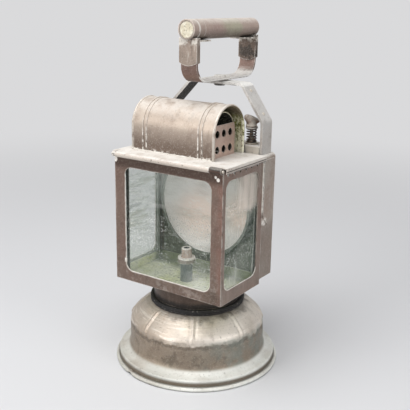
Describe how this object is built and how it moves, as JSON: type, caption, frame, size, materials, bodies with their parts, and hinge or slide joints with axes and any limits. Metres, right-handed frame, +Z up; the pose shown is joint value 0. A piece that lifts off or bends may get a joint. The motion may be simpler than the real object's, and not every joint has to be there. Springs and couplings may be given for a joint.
{
  "type": "acetylene railway lamp",
  "caption": "Railway acetylene lamp: round carbide base, square glazed lantern with reflector and burner, arched vent hood, rear water tank with needle valve, swivelling handle.",
  "frame": {"origin": "middle of the base's rim, on the surface that the lamp stands on", "axes": "+Z up along the base's axis, -Y towards the front glass, +X towards the water valve's side"},
  "size_m": [0.16, 0.16, 0.3249],
  "materials": {
    "brass_sheet": "aged brown patina",
    "worn_brass": "worn pale patina",
    "dark_brass": "dark tarnish",
    "bright_brass": "dull bright",
    "spring_steel": "tarnished",
    "pane_glass": "old clear glass",
    "silvered_mirror": "dull silvering",
    "seal_rubber": "matt",
    "grip_wood": "bare dry wood",
    "jet_ceramic": "unglazed, sooty"
  },
  "bodies": {
    "base": {"base_shell": "brass_sheet", "rim_wire": "dark_brass", "base_bottom": "dark_brass", "thread_spigot": "dark_brass", "carbide_basket": "dark_brass", "basket_lid": "dark_brass"},
    "seal": {"seal_ring": "seal_rubber"},
    "lantern": {"neck_collar": "dark_brass", "floor_plate": "worn_brass", "side_panel_left": "brass_sheet", "side_panel_right": "brass_sheet", "pane_left": "pane_glass", "pane_right": "pane_glass", "pane_channels": "worn_brass", "roof_plate": "worn_brass", "hinge_pin": "worn_brass", "hood_shell": "brass_sheet", "flue_liner": "dark_brass", "hood_plate_left": "brass_sheet", "hood_plate_right": "brass_sheet", "tank_shell": "brass_sheet", "tank_lid": "worn_brass", "tank_cover_left": "brass_sheet", "tank_cover_right": "brass_sheet", "socket_left": "worn_brass", "socket_right": "worn_brass", "reflector": "silvered_mirror", "reflector_bezel": "worn_brass", "reflector_posts": "dark_brass", "burner_holder": "dark_brass", "burner_collar": "bright_brass", "burner_tip": "jet_ceramic", "gas_tube": "dark_brass", "valve_seat": "dark_brass", "water_tube": "dark_brass", "valve_gland": "bright_brass", "valve_spring": "spring_steel", "filler_neck": "worn_brass", "handle_frame": "worn_brass", "swivel_washer": "bright_brass", "swivel_rivet": "worn_brass"},
    "door": {"front_door": "brass_sheet", "pane_front": "pane_glass", "pane_clips": "worn_brass"},
    "valve_carriage": {"valve_washer": "bright_brass"},
    "valve": {"valve_spindle": "bright_brass", "valve_knob": "brass_sheet"},
    "filler_carriage": {"filler_washer": "seal_rubber"},
    "filler": {"filler_cap": "worn_brass"},
    "handle": {"loop_strap": "worn_brass", "sleeve_front": "worn_brass", "sleeve_rear": "worn_brass", "grip_tube": "brass_sheet", "grip_ferrule": "brass_sheet", "grip_core": "grip_wood"}
  },
  "joints": [
    {"name": "seal_rise", "type": "slide", "parent": "base", "child": "seal", "axis": [0, 0, 1], "range_m": [0, 0.01001]},
    {"name": "lantern_turn", "type": "hinge", "parent": "seal", "child": "lantern", "pos_m": [0, 0, 0.07], "axis": [0, 0, 1], "range_deg": [0, 900]},
    {"name": "door_swing", "type": "hinge", "parent": "lantern", "child": "door", "pos_m": [0, -0.0525, 0.2041], "axis": [-1, 0, 0], "range_deg": [0, 105]},
    {"name": "handle_swivel", "type": "hinge", "parent": "lantern", "child": "handle", "pos_m": [0.004, 0.026, 0.269], "axis": [0, 0, 1], "continuous": true},
    {"name": "valve_rise", "type": "slide", "parent": "lantern", "child": "valve_carriage", "axis": [0, 0, 1], "range_m": [0, 0.00301], "deforming": ["valve_spring"]},
    {"name": "valve_turn", "type": "hinge", "parent": "valve_carriage", "child": "valve", "pos_m": [0.04, 0.0263, 0.229], "axis": [0, 0, 1], "range_deg": [0, 1080]},
    {"name": "filler_rise", "type": "slide", "parent": "lantern", "child": "filler_carriage", "axis": [0, 0, 1], "range_m": [0, 0.00401]},
    {"name": "filler_turn", "type": "hinge", "parent": "filler_carriage", "child": "filler", "pos_m": [-0.035, 0.0263, 0.2155], "axis": [0, 0, 1], "range_deg": [0, 720]}
  ],
  "couplings": [
    {"joint": "seal_rise", "follows": "lantern_turn", "m_per_rad": 0.00063662},
    {"joint": "valve_rise", "follows": "valve_turn", "m_per_rad": 0.00015915},
    {"joint": "filler_rise", "follows": "filler_turn", "m_per_rad": 0.00031831}
  ]
}
